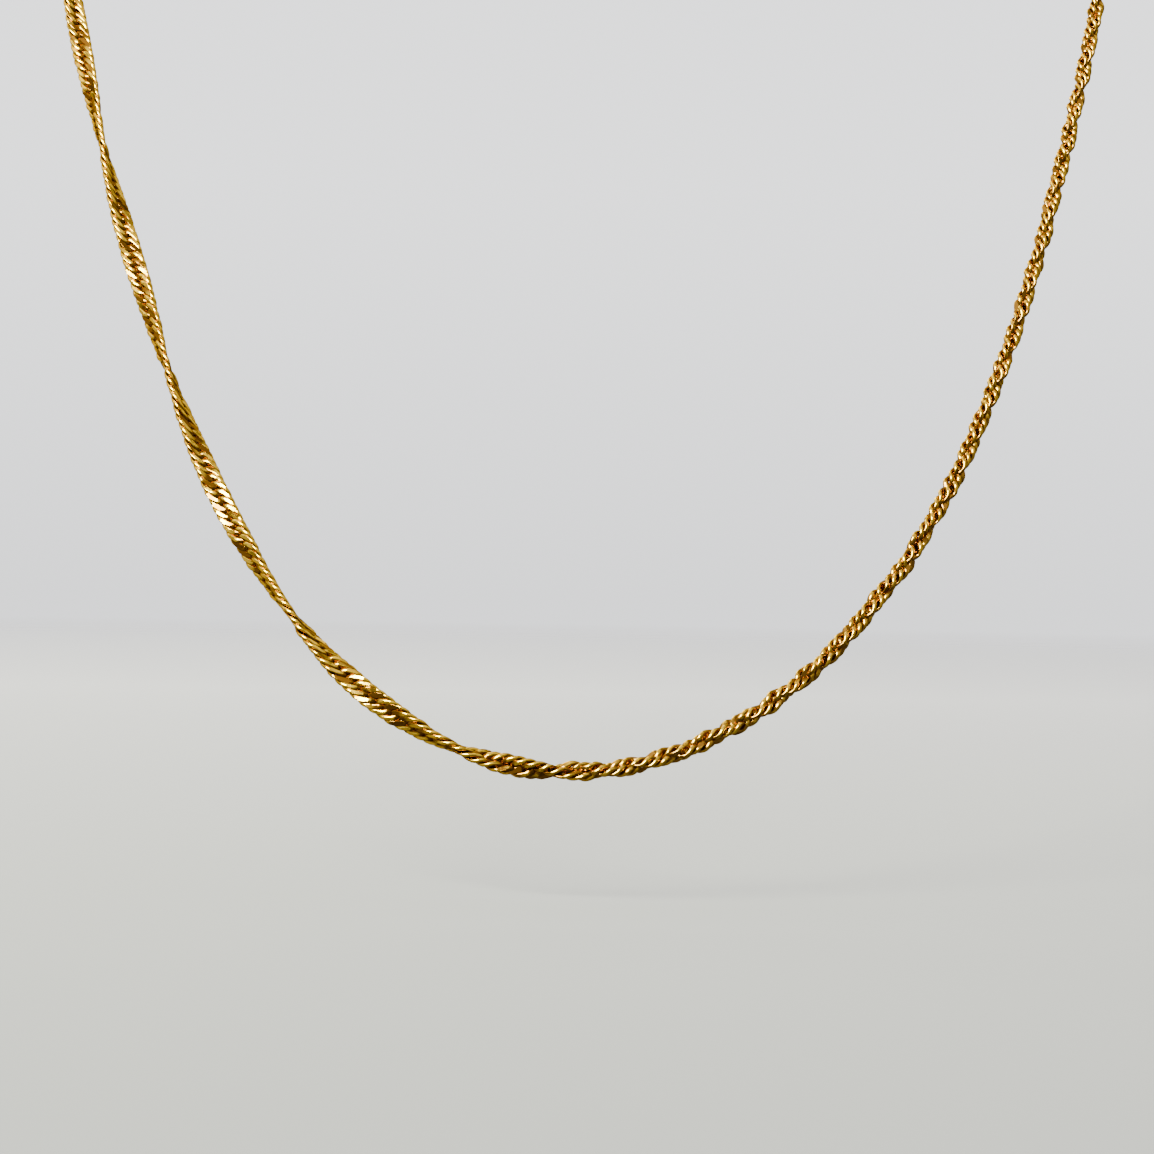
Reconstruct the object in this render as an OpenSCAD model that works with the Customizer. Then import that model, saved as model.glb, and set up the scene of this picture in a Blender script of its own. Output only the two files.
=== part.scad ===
// Singapore chain necklace, 18 inch, hanging as it is worn.
// Millimetres. The origin is the middle of the nape, +Z is up and the front hangs towards -Y.
// The half on -X is an open, slowly turning ribbon of links, the half on +X is turned tight
// into a thin rope, and a spring ring clasp closes the loop behind the neck.

/* [Drape] */
// Size of the catenary in which the front hangs
drape_a = 26; // [22:1:30]
// Lean of the front curve back from upright, in degrees
lean = 26; // [10:1:30]
// Length on each side that hangs in the front curve
front_len = 114; // [108:1:118]
// Height of the nape above the lowest point
nape_rise = 124; // [120:1:130]
// Distance of the nape behind the lowest point
nape_depth = 100; // [94:1:106]
// How far the chain keeps its course as it leaves the front curve
shoulder_pull = 40; // [34:1:46]
// How far the chain keeps its course as it leaves the clasp
nape_pull = 40; // [34:1:46]

/* [Ribbon half] */
// Width of the flat ribbon of links
ribbon_w = 2.4; // [2:0.1:2.8]
// Thickness of the flat ribbon of links
ribbon_t = 0.7; // [0.6:0.05:0.9]
// Flat share of the ribbon's width, between its rounded edges
ribbon_flat = 0.66; // [0.5:0.02:0.8]

/* [Rope half] */
// Diameter of the half that is turned tight
rope_d = 1.8; // [1.5:0.1:2]

/* [Chain ends] */
// Hole in each end, through which the end ring passes
end_hole_d = 1.1; // [1:0.05:1.2]
// Metal left between the hole and the end
end_wall = 0.45; // [0.35:0.05:0.6]
// Length at each end that lies flat against the neck
end_flat_len = 7; // [6:0.5:10]

/* [End rings] */
// Outer diameter of the two end rings
end_ring_d = 3.2; // [3:0.1:3.6]
// Wire diameter of the two end rings
end_ring_wire = 0.6; // [0.5:0.05:0.65]

/* [Clasp] */
// Outer diameter of the spring ring
clasp_d = 5.8; // [5.4:0.1:7]
// Wire diameter of the spring ring
clasp_wire = 0.9; // [0.8:0.05:1]
// Outer diameter of the small eye beside it
eye_d = 2.5; // [2.3:0.1:2.8]
// Wire diameter of the small eye
eye_wire = 0.6; // [0.5:0.05:0.65]
// Diameter of the thumb stud on its rim
stud_d = 0.7; // [0.5:0.05:0.8]
// How far the thumb stud stands out of the rim
stud_out = 0.9; // [0.6:0.1:1.2]
// Place of the thumb stud round the ring, in degrees up from the eye
stud_turn = 62; // [40:1:110]

/* [Hidden] */
round_fn = 48;
// Play between two rings or links that hook into each other
play = 0.12;
// Play between an end ring and the edge of the hole that it passes through
hole_play = 0.3;

// The clasp group lies along X behind the neck, each ring hooked into the next
clasp_r = (clasp_d - clasp_wire) / 2;
eye_r = (eye_d - eye_wire) / 2;
eye_reach = clasp_r + eye_r + clasp_wire / 2 - eye_wire / 2;
end_ring_r = (end_ring_d - end_ring_wire) / 2;
end_ring_hole_r = end_ring_r - end_ring_wire / 2;
ring_to_hole = end_ring_hole_r - hole_play + end_hole_d / 2;
left_ring_off = eye_reach + eye_r - eye_wire / 2 - play + end_ring_hole_r;
right_ring_off = clasp_r - clasp_wire / 2 - play + end_ring_hole_r;
left_hole_off = left_ring_off + ring_to_hole;
right_hole_off = right_ring_off + ring_to_hole;
// The clasp sits off the middle by half of what its eye adds, so both halves are as long
clasp_x = (left_hole_off - right_hole_off) / 2;
hole_x = (left_hole_off + right_hole_off) / 2;
end_x = hole_x - end_hole_d / 2 - end_wall;

// Front curve: a catenary in a plane that leans back, s measured from its lowest point
function front_out(s) = drape_a * ln(s / drape_a + sqrt(pow(s / drape_a, 2) + 1));
function front_up(s) = sqrt(pow(drape_a, 2) + s * s) - drape_a;
function leaned(out, up) = [out, up * sin(lean) - nape_depth, up * cos(lean) - nape_rise];
function front_at(s) = leaned(front_out(s), front_up(s));
function front_way(s) = [drape_a, s * sin(lean), s * cos(lean)] / sqrt(pow(drape_a, 2) + s * s);

// Way round the neck: one cubic curve from the top of the front curve to the end of the half
way_start = front_at(front_len);
way_end = [end_x, 0, 0];
way_a = way_start + shoulder_pull * front_way(front_len);
way_b = way_end + [nape_pull, 0, 0];
function way_at(t) = pow(1 - t, 3) * way_start + 3 * pow(1 - t, 2) * t * way_a
    + 3 * (1 - t) * t * t * way_b + pow(t, 3) * way_end;
function way_dir(t) = pow(1 - t, 2) * (way_a - way_start) + 2 * (1 - t) * t * (way_b - way_a)
    + t * t * (way_end - way_b);

// Length along the way, against its parameter
way_steps = 100;
function way_step(i) = norm(way_at((i + 1) / way_steps) - way_at(i / way_steps));
way_table = [for (i = 0, s = 0; i <= way_steps; s = s + way_step(i), i = i + 1) [s, i / way_steps]];
way_len = way_table[way_steps][0];
half_len = front_len + way_len;

// The half on +X, s measured from the lowest point up to the clasp
function half_at(s) = s < front_len ? front_at(s) : way_at(lookup(s - front_len, way_table));
function half_dir(s) = s < front_len ? front_way(s) : way_dir(lookup(s - front_len, way_table));
function unit(v) = v / norm(v);
// The same on either side: side is 1 on +X and -1 on -X
function sided(v, side) = [side * v[0], v[1], v[2]];

// Turn of the links about the chain, in degrees from edge on to the front curve's plane,
// right-handed: columns are distance from the lowest point and turn
face_turn = lean + 8 * 180;
left_turn = [
    [0, -154],
    [1, -111],
    [10.5, 71],
    [32.8, 260],
    [63.4, 448],
    [94.2, 633],
    [110, 723],
    [half_len - end_flat_len, face_turn],
    [half_len, face_turn]
];
right_turn = [
    [0, -lean],
    [half_len, -lean]
];

// Small bows of each half out of the even curve, away from the hollow of the loop:
// columns are distance from the lowest point and how far outwards
left_shift = [
    [0, 0.05],
    [8, 0.2],
    [16, 0.22],
    [23, 0.33],
    [32, 0.18],
    [40, 0.05],
    [48, 0],
    [56, -0.14],
    [64, -0.31],
    [74, -0.4],
    [82, -0.22],
    [92, -0.02],
    [102, 0.18],
    [112, 0.5],
    [118, 0.5],
    [145, 0]
];
right_shift = [
    [0, 0.05],
    [5, -0.04],
    [13, -0.19],
    [21.5, -0.13],
    [29, 0],
    [38.5, 0.2],
    [50, 0.35],
    [60, 0.19],
    [71.5, 0.09],
    [80, -0.03],
    [90, -0.13],
    [102, -0.02],
    [112, 0.12],
    [140, 0]
];

// Section of each half: columns are distance, width, thickness and flat share of the width
rope_flat = tan(22.5);
left_section = [
    [0, ribbon_w, ribbon_t, ribbon_flat],
    [half_len, ribbon_w, ribbon_t, ribbon_flat]
];
right_section = [
    [0, rope_d, rope_d, rope_flat],
    [half_len - 2 * end_flat_len, rope_d, rope_d, rope_flat],
    [half_len - end_flat_len, ribbon_w, ribbon_t, ribbon_flat],
    [half_len, ribbon_w, ribbon_t, ribbon_flat]
];
function column(table, c) = [for (row = table) [row[0], row[c]]];

// Eight corners of a flat bar with bevelled edges, across and through the chain
bar_corners = [[1, 1], [1, -1], [-1, -1], [-1, 1]];
function bar_section(w, t, flat) = [
    for (q = [0:3], first = [0, 1])
        let (side_point = [w / 2, t / 2 * rope_flat], face_point = [w / 2 * flat, t / 2])
        let (corner = (q + first) % 2 == 0 ? face_point : side_point)
        [corner[0] * bar_corners[q][0], corner[1] * bar_corners[q][1]]
];

// Rings of section points along one half
ring_count = 40;
front_face = [0, -cos(lean), sin(lean)];
function section_ring(s, side, shifts, turns, sections) =
    let (along = unit(sided(half_dir(s), side)))
    let (face = unit(front_face - (front_face * along) * along))
    let (across = cross(along, face))
    let (centre = sided(half_at(s), side) + side * lookup(s, shifts) * across)
    let (turn = lookup(s, turns))
    let (wide = cos(turn) * across - sin(turn) * face)
    let (deep = cross(along, wide))
    let (w = lookup(s, column(sections, 1)))
    let (t = lookup(s, column(sections, 2)))
    let (flat = lookup(s, column(sections, 3)))
    [for (p = bar_section(w, t, flat)) centre + p[0] * wide + p[1] * deep];

// One half of the chain, as a bar swept along the route
module strand(side, shifts, turns, sections) {
    points = [
        for (i = [0:ring_count - 1])
            let (s = half_len * i / (ring_count - 1))
            each section_ring(s, side, shifts, turns, sections)
    ];
    sides = [
        for (i = [0:ring_count - 2], k = [0:7])
            let (a = 8 * i + k, b = 8 * i + (k + 1) % 8)
            each [[a, b, b + 8], [a, b + 8, a + 8]]
    ];
    start = [for (k = [7:-1:0]) k];
    finish = [for (k = [0:7]) 8 * (ring_count - 1) + k];
    polyhedron(points = points, faces = concat([start], sides, [finish]), convexity = 10);
}

// Hole through the flat end of a half, for its end ring
module end_hole(side) {
    translate([side * hole_x, 0, 0])
        rotate([90, 0, 0])
            cylinder(d = end_hole_d, h = 4 * ribbon_t, center = true, $fn = round_fn);
}

// A round wire ring lying flat in XY about the origin
module wire_ring(mean_r, wire_d) {
    rotate_extrude($fn = 2 * round_fn)
        translate([mean_r, 0])
            circle(d = wire_d, $fn = round_fn);
}

// Open ribbon half, on the wearer's right
module chain_left() {
    color([0.83, 0.64, 0.25])
        difference() {
            strand(-1, left_shift, left_turn, left_section);
            end_hole(-1);
        }
}

// Tight rope half, on the wearer's left
module chain_right() {
    color([0.78, 0.56, 0.22])
        difference() {
            strand(1, right_shift, right_turn, right_section);
            end_hole(1);
        }
}

// Spring ring with its eye and thumb stud, lying upright against the neck
module clasp() {
    color([0.85, 0.68, 0.3])
        translate([clasp_x, 0, 0])
            rotate([90, 0, 0]) {
                wire_ring(clasp_r, clasp_wire);
                translate([-eye_reach, 0, 0])
                    wire_ring(eye_r, eye_wire);
                rotate([0, 0, 180 - stud_turn])
                    translate([clasp_r, 0, 0])
                        rotate([0, 90, 0])
                            cylinder(d = stud_d, h = clasp_wire / 2 + stud_out, $fn = round_fn);
            }
}

// Ring through the end of the left half and the clasp's eye
module end_ring_left() {
    color([0.85, 0.68, 0.3])
        translate([clasp_x - left_ring_off, 0, 0])
            wire_ring(end_ring_r, end_ring_wire);
}

// Ring through the end of the right half, hooked in the spring ring
module end_ring_right() {
    color([0.85, 0.68, 0.3])
        translate([clasp_x + right_ring_off, 0, 0])
            wire_ring(end_ring_r, end_ring_wire);
}

chain_left();
chain_right();
clasp();
end_ring_left();
end_ring_right();
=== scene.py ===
import math

import bpy
import numpy as np
from mathutils import Matrix, Vector


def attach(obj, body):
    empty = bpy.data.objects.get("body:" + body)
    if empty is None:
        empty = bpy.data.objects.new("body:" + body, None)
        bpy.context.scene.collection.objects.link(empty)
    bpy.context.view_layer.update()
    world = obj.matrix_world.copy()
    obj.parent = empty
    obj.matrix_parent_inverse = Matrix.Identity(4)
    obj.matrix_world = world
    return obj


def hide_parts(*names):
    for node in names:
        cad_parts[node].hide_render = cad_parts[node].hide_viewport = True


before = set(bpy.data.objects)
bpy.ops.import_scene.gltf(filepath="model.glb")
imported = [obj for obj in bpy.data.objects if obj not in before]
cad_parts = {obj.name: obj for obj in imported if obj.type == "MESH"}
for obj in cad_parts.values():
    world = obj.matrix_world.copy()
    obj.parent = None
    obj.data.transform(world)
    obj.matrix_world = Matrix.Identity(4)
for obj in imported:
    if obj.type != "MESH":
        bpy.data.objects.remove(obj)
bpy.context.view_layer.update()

# Sizes are in millimetres here and become metres when a mesh is made
MM = 0.001

# Route of the chain, the same curve as the frame's: a leaning catenary, then the way round the neck
DRAPE_A = 26.0
LEAN = math.radians(26.0)
FRONT_LEN = 114.0
NAPE_RISE = 124.0
NAPE_DEPTH = 100.0
SHOULDER_PULL = 40.0
NAPE_PULL = 40.0
END_X = 4.23
WAY_STEPS = 400

# Turn of the links about the chain: distance from the lowest point in mm, turn in degrees
LEFT_TURN = [
    (0, -154), (1, -111), (10.5, 71), (32.8, 260), (63.4, 448), (94.2, 633), (110, 723),
]
RIGHT_TURN = [(0, -26), (31, 1361), (71.5, 3280), (116, 5080)]

# How both halves come to lie flat at the nape: the left after so many half turns, the right after
# a stretch that takes its tight turn out, with about so many degrees of turn left in it
END_FLAT_LEN = 7.0
LEFT_TURNS_TO_END = 8
RIGHT_HALF_TURN_LEN = 4.4
RIGHT_SETTLE_LEN = 6.0
RIGHT_SETTLE_TURN = 120.0

# How far the chain hangs outside the ideal curve: distance from the lowest point and shift in mm
LEFT_SHIFT = [
    (0, 0.05), (8, 0.2), (16, 0.22), (23, 0.33), (32, 0.18), (40, 0.05), (48, 0.0), (56, -0.14),
    (64, -0.31), (74, -0.4), (82, -0.22), (92, -0.02), (102, 0.18), (112, 0.5), (118, 0.5), (145, 0.0),
]
RIGHT_SHIFT = [
    (0, 0.05), (5, -0.04), (13, -0.19), (21.5, -0.13), (29, 0.0), (38.5, 0.2), (50, 0.35), (60, 0.19),
    (71.5, 0.09), (80, -0.03), (90, -0.13), (102, -0.02), (112, 0.12), (140, 0.0),
]
SHIFT_SMOOTH = 4.0

# Distance from link to link in the open ribbon and in the tight rope, whose turn draws it together
FLAT_PITCH = 0.95
ROPE_PITCH = 0.72
# How far the last link of each half moves out, to hold the end ring
END_LINK_SHIFT = 0.7

# A link where the chain lies flat and where it is turned tight: half length and half width of the
# wire's middle line, wire radius, bend from end to end, and how square the oval is
FLAT_LINK = {
    "half_len": 1.62,
    "half_width": 0.96,
    "wire": 0.205,
    "bend": math.radians(-41.0),
    "square": 1.65,
}
ROPE_LINK = {
    "half_len": 0.94,
    "half_width": 0.69,
    "wire": 0.215,
    "bend": math.radians(-54.0),
    "square": 1.8,
}
# Turn from link to link in degrees up to which a link is the flat one, and from which the tight one
FLAT_PER_LINK = 8.0
TIGHT_PER_LINK = 30.0
# Length to each side over which that turn is measured
TURN_WINDOW = 2.0
# How much the bend eases off towards a link's ends
END_DROP = 0.5
# The wire gets thicker towards a link's ends, and to the sides where it lies inside the chain
END_SWELL = 0.15
SWELL_FROM = 0.6
FLANK = 1.1

# Cut faces, flat and tight: half thickness on the middle line and tilt from link to link, then the
# fall of each face towards the edges
FLAT_HALF_THICK = 0.35
ROPE_HALF_THICK = 0.5
FLAT_TILT = 0.08
ROPE_TILT = 0.3
FACE_FALL = 0.06

# How far links stray from their places, flat and tight: shift in mm, roll about the chain, and yaw
FLAT_STRAY = 0.02
ROPE_STRAY = 0.06
FLAT_ROLL = math.radians(3.0)
ROPE_ROLL = math.radians(9.0)
ROPE_YAW = math.radians(7.0)
SEED = 11

# Mesh detail of one link
AROUND_LINK = 32
AROUND_WIRE = 10


def smooth_step(x):
    """0 below 0, 1 above 1, and smooth between."""
    x = np.clip(x, 0.0, 1.0)
    return x * x * (3.0 - 2.0 * x)


def between(flat, tight_value, tight):
    """Value of each link between that of the flat and that of the tight one."""
    return flat + (tight_value - flat) * tight


def normalized(v):
    return v / np.linalg.norm(v, axis=-1, keepdims=True)


def front_point(s):
    """Point of the front curve on +X at arc length s from the lowest point."""
    out = DRAPE_A * np.arcsinh(s / DRAPE_A)
    up = np.hypot(DRAPE_A, s) - DRAPE_A
    return np.stack([out, up * math.sin(LEAN) - NAPE_DEPTH, up * math.cos(LEAN) - NAPE_RISE], -1)


def front_direction(s):
    reach = np.hypot(DRAPE_A, s)
    return np.stack([DRAPE_A / reach, s / reach * math.sin(LEAN), s / reach * math.cos(LEAN)], -1)


WAY_START = front_point(np.array(FRONT_LEN))
WAY_END = np.array([END_X, 0.0, 0.0])
WAY_A = WAY_START + SHOULDER_PULL * front_direction(np.array(FRONT_LEN))
WAY_B = WAY_END + np.array([NAPE_PULL, 0.0, 0.0])


def way_point(t):
    """Point of the way round the neck on +X, a cubic curve, at its parameter t."""
    t = np.asarray(t)[..., None]
    return (
        (1 - t) ** 3 * WAY_START + 3 * (1 - t) ** 2 * t * WAY_A
        + 3 * (1 - t) * t * t * WAY_B + t ** 3 * WAY_END
    )


def way_direction(t):
    t = np.asarray(t)[..., None]
    return normalized(
        (1 - t) ** 2 * (WAY_A - WAY_START) + 2 * (1 - t) * t * (WAY_B - WAY_A) + t * t * (WAY_END - WAY_B)
    )


WAY_T = np.linspace(0.0, 1.0, WAY_STEPS + 1)
WAY_S = np.concatenate([[0.0], np.cumsum(np.linalg.norm(np.diff(way_point(WAY_T), axis=0), axis=1))])
HALF_LEN = FRONT_LEN + WAY_S[-1]


def half_frames(s, side):
    """Centre, direction and front-facing normal of the chain at arc lengths s on one side."""
    on_front = (s < FRONT_LEN)[:, None]
    t = np.interp(s - FRONT_LEN, WAY_S, WAY_T)
    s_front = np.minimum(s, FRONT_LEN)
    mirror = np.array([side, 1.0, 1.0])
    centre = np.where(on_front, front_point(s_front), way_point(t)) * mirror
    along = np.where(on_front, front_direction(s_front), way_direction(t)) * mirror
    face = np.array([0.0, -math.cos(LEAN), math.sin(LEAN)])
    face = normalized(face - (along @ face)[:, None] * along)
    return centre, along, face


def turn_rows(side):
    """Table of distance and turn for one side, down to the end that lies flat at the nape."""
    flat_from = HALF_LEN - END_FLAT_LEN
    if side < 0:
        end = math.degrees(LEAN) + 180.0 * LEFT_TURNS_TO_END
        return LEFT_TURN + [(flat_from, end), (HALF_LEN, end)]
    last_s, last_turn = RIGHT_TURN[-1]
    settle_from = flat_from - RIGHT_SETTLE_LEN
    free = last_turn + 180.0 / RIGHT_HALF_TURN_LEN * (settle_from - last_s)
    half_turns = round((free + RIGHT_SETTLE_TURN + math.degrees(LEAN)) / 180.0)
    end = 180.0 * half_turns - math.degrees(LEAN)
    return RIGHT_TURN + [(settle_from, free), (flat_from, end), (HALF_LEN, end)]


def turn_at(s, side):
    """Turn in degrees of the links at arc lengths s on one side."""
    rows = np.array(turn_rows(side), float)
    return np.interp(s, rows[:, 0], rows[:, 1])


def shift_at(s, side):
    """Outward shift in mm at arc lengths s on one side, its corners rounded off."""
    rows = np.array(LEFT_SHIFT if side < 0 else RIGHT_SHIFT, float)
    near = np.linspace(-SHIFT_SMOOTH, SHIFT_SMOOTH, 5)
    return np.interp(np.abs(s[:, None] + near), rows[:, 0], rows[:, 1]).mean(1)


def link_pitch(side):
    return FLAT_PITCH if side < 0 else ROPE_PITCH


def link_places(side):
    """Arc lengths of the links of one half, the first half a pitch from the lowest point."""
    pitch = link_pitch(side)
    last = HALF_LEN - FLAT_LINK["wire"] - FLAT_LINK["half_len"] - END_LINK_SHIFT
    count = round((last - pitch / 2) / pitch) + 1
    s = np.linspace(pitch / 2, last, count)
    s[-1] += END_LINK_SHIFT
    return s


def link_sizes(s, side):
    """Size and bend of each link, and how tight the chain is turned there, from 0 to 1."""
    turn = np.abs(turn_at(s + TURN_WINDOW, side) - turn_at(s - TURN_WINDOW, side))
    per_link = turn / (2.0 * TURN_WINDOW) * link_pitch(side)
    tight = smooth_step((per_link - FLAT_PER_LINK) / (TIGHT_PER_LINK - FLAT_PER_LINK))
    size = {key: between(FLAT_LINK[key], ROPE_LINK[key], tight) for key in FLAT_LINK}
    return size, tight


def link_lines(size):
    """Middle lines of the wire of all links: ovals bent from end to end, in link coordinates."""
    t = np.linspace(0.0, 2.0 * math.pi, AROUND_LINK, endpoint=False)
    power = 2.0 / size["square"][:, None]
    reach = np.sign(np.cos(t)) * np.abs(np.cos(t)) ** power
    width = np.sign(np.sin(t)) * np.abs(np.sin(t)) ** power * size["half_width"][:, None]
    angle = size["bend"][:, None] * reach * (1.0 - END_DROP * reach ** 2)
    length = size["half_len"][:, None] * reach
    return np.stack([length, width * np.cos(angle), width * np.sin(angle)], -1)


def recess_at(points, depth, outer):
    """How far inside the chain's flat section points in link coordinates lie, from 0 to 1."""
    shape = (-1,) + (1,) * (points.ndim - 2)
    aside = np.abs(points[..., 1])
    face = depth.reshape(shape) - FACE_FALL * aside
    reach = np.maximum(np.abs(points[..., 2]) / face, aside / outer.reshape(shape))
    return np.clip(1.0 - reach, 0.0, 1.0)


def wire_rings(lines, wire, depth, outer, fill):
    """Rings of points round the middle lines, thicker at the links' ends and inside the chain.

    fill is 1 for a link among its neighbours and 0 for the open link that holds an end ring.
    """
    k = np.linspace(0.0, 2.0 * math.pi, AROUND_WIRE, endpoint=False) + math.pi / AROUND_WIRE
    tangent = normalized(np.roll(lines, -1, 1) - np.roll(lines, 1, 1))
    side_way = normalized(np.cross(tangent, np.array([0.0, 0.0, 1.0])))
    up_way = np.cross(side_way, tangent)
    reach = np.abs(lines[..., 0]) / np.abs(lines[..., 0]).max(1, keepdims=True)
    swell = END_SWELL * fill[:, None] * smooth_step((reach - SWELL_FROM) / (1.0 - SWELL_FROM))
    radius = (wire[:, None] * (1.0 + swell))[:, :, None, None]
    sideways = radius * np.cos(k)[None, None, :, None] * side_way[:, :, None, :]
    upwards = radius * np.sin(k)[None, None, :, None] * up_way[:, :, None, :]
    rings = lines[:, :, None, :] + sideways + upwards
    flank = FLANK * fill[:, None, None] * recess_at(rings, depth, outer)
    return rings + flank[..., None] * sideways


def cut_faces(rings, depth, tilts):
    """Flatten both faces of every link in place, each by its own slightly tilted planes."""
    flat = np.zeros(rings.shape[:3], bool)
    for face, sign in ((0, 1.0), (1, -1.0)):
        limit = (
            depth[:, None, None]
            + tilts[:, face, 0][:, None, None] * rings[..., 0]
            + tilts[:, face, 1][:, None, None] * rings[..., 1]
            - FACE_FALL * np.abs(rings[..., 1])
        )
        over = sign * rings[..., 2] > limit
        rings[..., 2] = np.where(over, sign * limit, rings[..., 2])
        flat |= over
    return flat


def ring_faces():
    """Corner numbers of the quads of one closed wire link."""
    i, k = np.meshgrid(np.arange(AROUND_LINK), np.arange(AROUND_WIRE), indexing="ij")
    i_next = (i + 1) % AROUND_LINK
    k_next = (k + 1) % AROUND_WIRE
    corners = [
        i * AROUND_WIRE + k,
        i * AROUND_WIRE + k_next,
        i_next * AROUND_WIRE + k_next,
        i_next * AROUND_WIRE + k,
    ]
    return np.stack(corners, -1).reshape(-1, 4)


def mesh_object(name, vertices, faces, smooth):
    mesh = bpy.data.meshes.new(name)
    mesh.from_pydata((vertices * MM).tolist(), [], faces.tolist())
    mesh.polygons.foreach_set("use_smooth", smooth)
    mesh.update()
    obj = bpy.data.objects.new(name, mesh)
    bpy.context.scene.collection.objects.link(obj)
    return obj


def point_values(obj, name, values):
    """Store one number for each corner of the mesh, for its material to read."""
    layer = obj.data.attributes.new(name, "FLOAT", "POINT")
    layer.data.foreach_set("value", np.ascontiguousarray(values, dtype=np.float32).ravel())


def build_links(name, side):
    """All links of one half as one mesh."""
    s = link_places(side)
    n = len(s)
    rng = np.random.default_rng(SEED + side)
    centre, along, face = half_frames(s, side)
    size, tight = link_sizes(s, side)
    roll = rng.normal(0.0, 1.0, n) * between(FLAT_ROLL, ROPE_ROLL, tight)
    turn = np.radians(turn_at(s, side)) + roll
    across = np.cross(along, face)
    centre = centre + side * shift_at(s, side)[:, None] * across
    wide = np.cos(turn)[:, None] * across - np.sin(turn)[:, None] * face
    normal = np.cross(along, wide)
    yaw = rng.normal(0.0, ROPE_YAW, n) * tight
    ahead = np.cos(yaw)[:, None] * along + np.sin(yaw)[:, None] * wide
    axes = np.stack([ahead, np.cross(normal, ahead), normal], 1)

    depth = between(FLAT_HALF_THICK, ROPE_HALF_THICK, tight)
    outer = size["half_width"] + size["wire"]
    fill = np.ones(n)
    fill[-1] = 0.0
    rings = wire_rings(link_lines(size), size["wire"], depth, outer, fill)
    tilts = rng.uniform(-1.0, 1.0, (n, 2, 2)) * between(FLAT_TILT, ROPE_TILT, tight)[:, None, None]
    flat = cut_faces(rings, depth, tilts)

    places = centre + rng.normal(0.0, 1.0, (n, 3)) * between(FLAT_STRAY, ROPE_STRAY, tight)[:, None]
    world = places[:, None, None, :] + np.einsum("nijc,ncx->nijx", rings, axes)
    per_link = AROUND_LINK * AROUND_WIRE
    corner = ring_faces()
    faces = (np.arange(n)[:, None, None] * per_link + corner[None]).reshape(-1, 4)
    cut = flat.reshape(n, per_link)[:, corner].all(-1).reshape(-1)
    obj = mesh_object(name, world.reshape(-1, 3), faces, ~cut)
    # How far inside the chain each point lies, where the gold's material paints shade
    point_values(obj, "recess", recess_at(rings, depth, outer))
    point_values(obj, "tone", np.broadcast_to(rng.random(n)[:, None, None], rings.shape[:3]))
    return obj


# Gold: tint at grazing angles, then noise scales per metre of the tone, the wear and the surface
GRAZING_TINT = (0.95, 0.7, 0.35, 1.0)
TONE_SCALE = 900.0
WEAR_SCALE = 2600.0
SURFACE_SCALE = 3500.0
TONE_CHANGE = 0.25
WEAR_LEAST = 0.7
WEAR_MOST = 1.5
SURFACE_STRENGTH = 0.06
SURFACE_DEPTH = 0.00002
# How far inside the chain the painted shade in the gaps begins
DARK_FROM = 0.03

# Each gold's darkest colour is painted shade for the gaps between the wires, where shade falls
GOLDS = {
    "chain_gold": {
        "light": (0.96, 0.62, 0.055),
        "deep": (0.91, 0.55, 0.042),
        "painted_gap_shade": (0.23, 0.1, 0.012),
        "rough": 0.13,
        "dark_at": 0.18,
    },
    "rope_gold": {
        "light": (0.96, 0.62, 0.06),
        "deep": (0.91, 0.54, 0.05),
        "painted_gap_shade": (0.3, 0.145, 0.026),
        "rough": 0.13,
        "dark_at": 0.25,
    },
    "clasp_gold": {
        "light": (0.96, 0.61, 0.06),
        "deep": (0.9, 0.54, 0.05),
        "painted_gap_shade": (0.15, 0.06, 0.01),
        "rough": 0.16,
        "dark_at": 0.25,
    },
}


def color_mix(nodes, links, factor, first, second):
    """Mix of two colours, each a colour or another node's output."""
    node = nodes.new("ShaderNodeMix")
    node.data_type = "RGBA"
    links.new(factor, node.inputs[0])
    for socket, color in ((node.inputs[6], first), (node.inputs[7], second)):
        if isinstance(color, tuple):
            socket.default_value = (*color, 1.0)
        else:
            links.new(color, socket)
    return node.outputs[2]


def math_node(nodes, links, operation, first, second, clamp=False):
    node = nodes.new("ShaderNodeMath")
    node.operation = operation
    node.use_clamp = clamp
    links.new(first, node.inputs[0])
    links.new(second, node.inputs[1])
    return node.outputs["Value"]


def noise_node(nodes, links, coordinates, scale, detail):
    node = nodes.new("ShaderNodeTexNoise")
    node.inputs["Scale"].default_value = scale
    node.inputs["Detail"].default_value = detail
    links.new(coordinates, node.inputs["Vector"])
    return node.outputs["Fac"]


def attribute(nodes, name):
    node = nodes.new("ShaderNodeAttribute")
    node.attribute_name = name
    return node.outputs["Fac"]


def spread(nodes, links, value, low, high, to_low, to_high):
    """Map a range of values to another, held at its ends."""
    node = nodes.new("ShaderNodeMapRange")
    node.inputs["From Min"].default_value = low
    node.inputs["From Max"].default_value = high
    node.inputs["To Min"].default_value = to_low
    node.inputs["To Max"].default_value = to_high
    links.new(value, node.inputs["Value"])
    return node.outputs["Result"]


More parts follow.
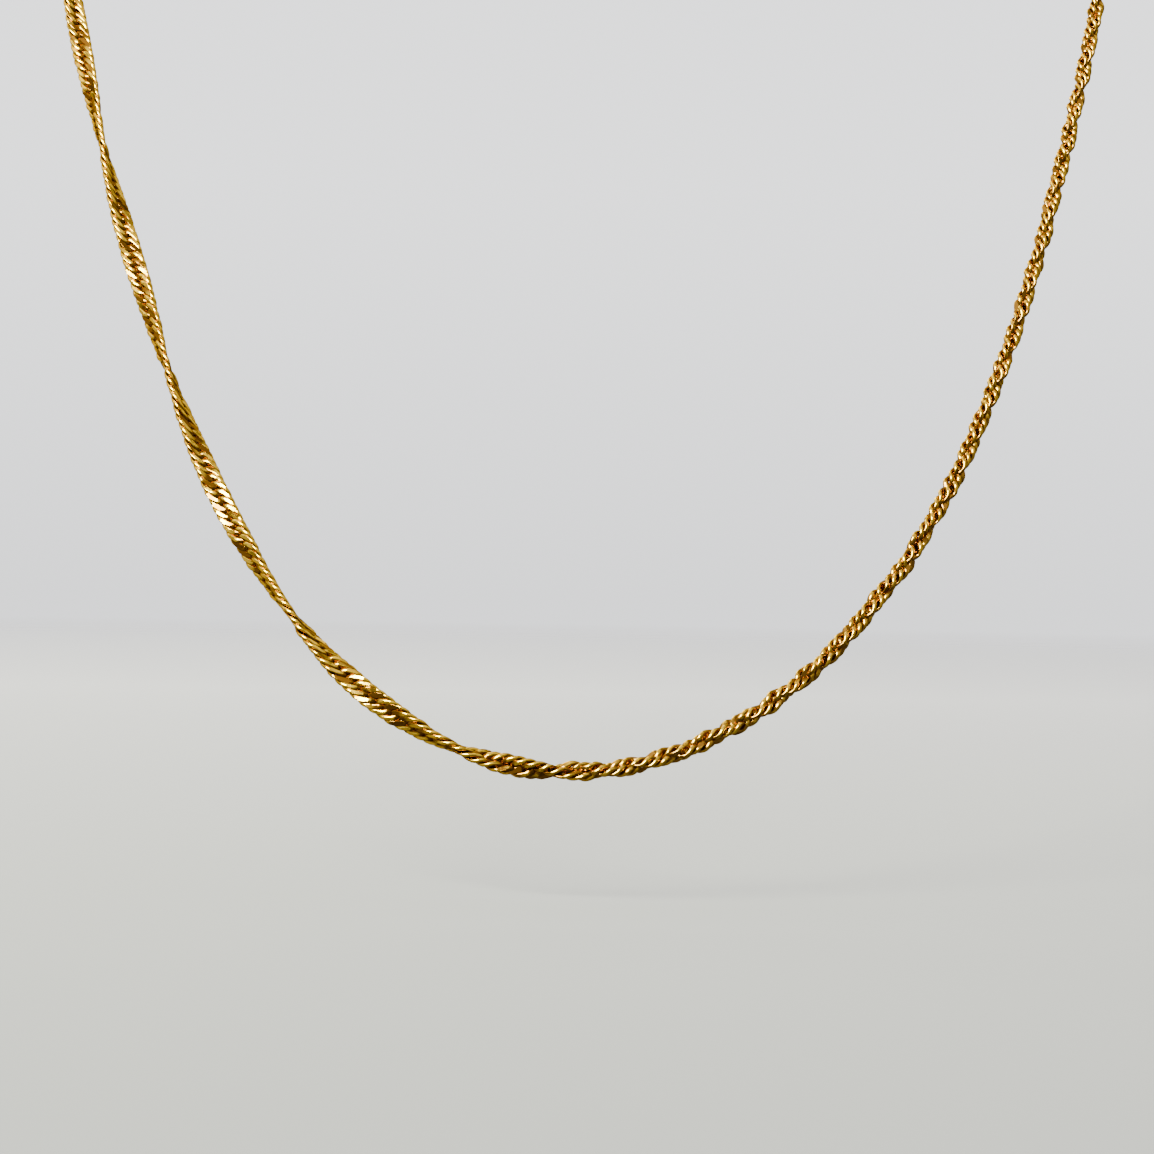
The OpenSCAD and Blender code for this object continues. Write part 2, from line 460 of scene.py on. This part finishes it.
def gold(name, light, deep, painted_gap_shade, rough, dark_at):
    """Polished gold: tone changes from link to link, and shade is painted into its colour down in the
    gaps.

    dark_at is how far inside the chain the colour becomes the dark painted gap shade.
    """
    material = bpy.data.materials.new(name)
    material.use_nodes = True
    nodes = material.node_tree.nodes
    links = material.node_tree.links
    shader = nodes["Principled BSDF"]
    shader.inputs["Metallic"].default_value = 1.0
    shader.inputs["Specular Tint"].default_value = GRAZING_TINT
    place = nodes.new("ShaderNodeTexCoord").outputs["Object"]

    cloud = noise_node(nodes, links, place, TONE_SCALE, 2.0)
    cloud = spread(nodes, links, cloud, 0.35, 0.65, -TONE_CHANGE, TONE_CHANGE)
    tone = math_node(nodes, links, "ADD", attribute(nodes, "tone"), cloud, clamp=True)
    metal = color_mix(nodes, links, tone, light, deep)
    # Painted shade: the colour turns dark brown down in the gaps inside the chain
    gap_shade_mask = spread(nodes, links, attribute(nodes, "recess"), DARK_FROM, dark_at, 0.0, 1.0)
    links.new(color_mix(nodes, links, gap_shade_mask, metal, painted_gap_shade), shader.inputs["Base Color"])

    wear = noise_node(nodes, links, place, WEAR_SCALE, 3.0)
    wear = spread(nodes, links, wear, 0.3, 0.7, rough * WEAR_LEAST, rough * WEAR_MOST)
    links.new(wear, shader.inputs["Roughness"])

    bump = nodes.new("ShaderNodeBump")
    bump.inputs["Strength"].default_value = SURFACE_STRENGTH
    bump.inputs["Distance"].default_value = SURFACE_DEPTH
    links.new(noise_node(nodes, links, place, SURFACE_SCALE, 3.0), bump.inputs["Height"])
    links.new(bump.outputs["Normal"], shader.inputs["Normal"])
    return material


def build_chain():
    """Both halves of links, in place of the frame's two bars."""
    left = build_links("chain_left_links", -1)
    right = build_links("chain_right_links", 1)
    for obj, node, slot in ((left, "chain_left", "chain_gold"), (right, "chain_right", "rope_gold")):
        obj.data.materials.append(gold(slot, **GOLDS[slot]))
        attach(obj, "root")
        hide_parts(node)


def finish_clasp():
    """The clasp and the end rings keep their shapes and get their gold."""
    material = gold("clasp_gold", **GOLDS["clasp_gold"])
    for node in ("clasp", "end_ring_left", "end_ring_right"):
        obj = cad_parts[node]
        obj.data.materials.clear()
        obj.data.materials.append(material)


build_chain()
finish_clasp()

# Pale studio floor with shade painted into its colour towards the front, that fades into the pale
# background all round
FLOOR_Z = -0.137
FLOOR_R = 1.3
FLOOR_CORNERS = 96
FADE_FROM = 0.3
FADE_TO = 1.2
PALE = (0.54, 0.533, 0.66)
# Colour painted on the floor's front as shade
FRONT_SHADE = (0.17, 0.169, 0.212)
FRONT_Y = -0.26
BACK_Y = 0.3
PAPER_ROUGH = 0.9


def paper():
    material = bpy.data.materials.new("studio_paper")
    material.use_nodes = True
    nodes = material.node_tree.nodes
    links = material.node_tree.links
    place = nodes.new("ShaderNodeTexCoord").outputs["Object"]
    split = nodes.new("ShaderNodeSeparateXYZ")
    links.new(place, split.inputs["Vector"])
    # Painted shade: the floor's colour darkens towards the front
    depth = spread(nodes, links, split.outputs["Y"], FRONT_Y, BACK_Y, 0.0, 1.0)
    shader = nodes["Principled BSDF"]
    links.new(color_mix(nodes, links, depth, FRONT_SHADE, PALE), shader.inputs["Base Color"])
    shader.inputs["Roughness"].default_value = PAPER_ROUGH
    radius = nodes.new("ShaderNodeVectorMath")
    radius.operation = "LENGTH"
    links.new(place, radius.inputs[0])
    clear = nodes.new("ShaderNodeBsdfTransparent")
    mix = nodes.new("ShaderNodeMixShader")
    fade = spread(nodes, links, radius.outputs["Value"], FADE_FROM, FADE_TO, 0.0, 1.0)
    links.new(fade, mix.inputs["Fac"])
    links.new(shader.outputs["BSDF"], mix.inputs[1])
    links.new(clear.outputs["BSDF"], mix.inputs[2])
    links.new(mix.outputs["Shader"], nodes["Material Output"].inputs["Surface"])
    return material


def studio_floor():
    angles = [2.0 * math.pi * i / FLOOR_CORNERS for i in range(FLOOR_CORNERS)]
    vertices = [(FLOOR_R * math.cos(a), FLOOR_R * math.sin(a), 0.0) for a in angles]
    mesh = bpy.data.meshes.new("studio_floor")
    mesh.from_pydata(vertices, [], [list(range(FLOOR_CORNERS))])
    obj = bpy.data.objects.new("studio_floor", mesh)
    bpy.context.scene.collection.objects.link(obj)
    obj.location = (0.0, 0.0, FLOOR_Z)
    obj.visible_glossy = False
    mesh.materials.append(paper())


# Soft boxes: place and target in metres, width and height, power in watts, colour, and whether
# the polished metal mirrors them
FOCUS = (0.0, -0.08, -0.08)
LIGHTS = {
    "key": {
        "place": (-0.42, -0.68, 0.42),
        "target": FOCUS,
        "size": (0.42, 0.42),
        "power": 36.0,
        "color": (0.93, 1.0, 0.63),
        "mirrored": True,
    },
    "back": {
        "place": (-0.35, 0.75, 0.5),
        "target": FOCUS,
        "size": (0.45, 0.4),
        "power": 5.0,
        "color": (0.95, 1.0, 0.68),
        "mirrored": True,
    },
    "paper_top": {
        "place": (0.0, 0.1, 1.3),
        "target": (0.0, 0.4, -0.1),
        "size": (1.6, 1.2),
        "power": 11.0,
        "color": (0.96, 0.92, 1.0),
        "mirrored": False,
    },
    "paper_front": {
        "place": (0.0, -1.2, 0.7),
        "target": (0.0, 0.3, -0.1),
        "size": (1.6, 1.0),
        "power": 19.5,
        "color": (0.96, 0.92, 1.0),
        "mirrored": False,
    },
}


def soft_box(name, place, target, size, power, color, mirrored):
    data = bpy.data.lights.new(name, "AREA")
    data.shape = "RECTANGLE"
    data.size, data.size_y = size
    data.energy = power
    data.color = color
    obj = bpy.data.objects.new(name, data)
    bpy.context.scene.collection.objects.link(obj)
    obj.location = place
    way = Vector(target) - Vector(place)
    obj.rotation_euler = way.to_track_quat("-Z", "Y").to_euler()
    obj.visible_glossy = mirrored


# Room that the metal mirrors: height from 0, straight down, to 1, straight up, and brightness
ROOM_LEVELS = [(0.0, 0.22), (0.3, 0.32), (0.42, 0.4), (0.62, 0.56), (0.82, 1.5), (1.0, 1.3)]
ROOM_TINT = (1.0, 0.96, 0.72)
# Brighter and darker patches in it: which, how fine, how rough, their edges and their brightness
PATCH_SEED = 0.0
PATCH_SCALE = 4.0
PATCH_DETAIL = 3.0
PATCH_EDGES = (0.42, 0.58)
PATCH_LEVELS = (0.3, 1.6)
# It is brighter on the left than on the right: direction and brightness
ROOM_LEFT = (-0.6, 1.3)
ROOM_RIGHT = (0.7, 0.55)
# What the camera sees behind the chain: colour, then direction's height and brightness
SIGHT = (0.97, 0.98, 1.0)
SIGHT_LOW = (-0.01, 1.58)
SIGHT_HIGH = (0.17, 2.03)


def room_color(nodes, links, height):
    """Colour of the mirrored room by height."""
    ramp = nodes.new("ShaderNodeValToRGB")
    elements = ramp.color_ramp.elements
    elements[0].position = ROOM_LEVELS[0][0]
    elements[1].position = ROOM_LEVELS[-1][0]
    for at, value in ROOM_LEVELS[1:-1]:
        elements.new(at)
    for element, (at, value) in zip(elements, ROOM_LEVELS):
        element.color = (*(value * share for share in ROOM_TINT), 1.0)
    links.new(spread(nodes, links, height, -1.0, 1.0, 0.0, 1.0), ramp.inputs["Fac"])
    return ramp.outputs["Color"]


def room_power(nodes, links, direction, across):
    """Brightness of the mirrored room: patches, darker on the right."""
    noise = nodes.new("ShaderNodeTexNoise")
    noise.noise_dimensions = "4D"
    noise.inputs["W"].default_value = PATCH_SEED
    noise.inputs["Scale"].default_value = PATCH_SCALE
    noise.inputs["Detail"].default_value = PATCH_DETAIL
    links.new(direction, noise.inputs["Vector"])
    patch = spread(nodes, links, noise.outputs["Fac"], *PATCH_EDGES, *PATCH_LEVELS)
    side = spread(nodes, links, across, ROOM_LEFT[0], ROOM_RIGHT[0], ROOM_LEFT[1], ROOM_RIGHT[1])
    return math_node(nodes, links, "MULTIPLY", patch, side)


def studio_world():
    """Pale to the eye, while the metal mirrors a dim, uneven room."""
    world = bpy.data.worlds.new("studio")
    bpy.context.scene.world = world
    world.use_nodes = True
    nodes = world.node_tree.nodes
    links = world.node_tree.links
    direction = nodes.new("ShaderNodeTexCoord").outputs["Generated"]
    split = nodes.new("ShaderNodeSeparateXYZ")
    links.new(direction, split.inputs["Vector"])
    room = nodes["Background"]
    links.new(room_color(nodes, links, split.outputs["Z"]), room.inputs["Color"])
    links.new(room_power(nodes, links, direction, split.outputs["X"]), room.inputs["Strength"])
    sight = nodes.new("ShaderNodeBackground")
    sight.inputs["Color"].default_value = (*SIGHT, 1.0)
    rise = spread(
        nodes, links, split.outputs["Z"], SIGHT_LOW[0], SIGHT_HIGH[0], SIGHT_LOW[1], SIGHT_HIGH[1]
    )
    links.new(rise, sight.inputs["Strength"])
    ray = nodes.new("ShaderNodeLightPath")
    mix = nodes.new("ShaderNodeMixShader")
    links.new(ray.outputs["Is Camera Ray"], mix.inputs["Fac"])
    links.new(room.outputs["Background"], mix.inputs[1])
    links.new(sight.outputs["Background"], mix.inputs[2])
    links.new(mix.outputs["Shader"], nodes["World Output"].inputs["Surface"])


studio_floor()
for light_name, light in LIGHTS.items():
    soft_box(light_name, **light)
studio_world()

# Camera: level, in front of the lowest point, rolled a little
PHOTO_PX = 1154
FOCAL_PX = 2263.4
SENSOR_MM = 36.0
CAMERA_ASIDE = 0.09
CAMERA_BACK = 213.2
CAMERA_UP = 18.3
CAMERA_ROLL = math.radians(0.945)
CAMERA_NEAR = 0.01


def build_camera():
    data = bpy.data.cameras.new("camera")
    data.sensor_width = SENSOR_MM
    data.lens = SENSOR_MM * FOCAL_PX / PHOTO_PX
    data.clip_start = CAMERA_NEAR
    camera = bpy.data.objects.new("camera", data)
    bpy.context.scene.collection.objects.link(camera)
    place = Vector((CAMERA_ASIDE, -NAPE_DEPTH - CAMERA_BACK, CAMERA_UP - NAPE_RISE)) * MM
    level = Matrix.Rotation(math.radians(90.0), 4, "X")
    camera.matrix_world = Matrix.Translation(place) @ level @ Matrix.Rotation(CAMERA_ROLL, 4, "Z")
    bpy.context.scene.camera = camera


build_camera()
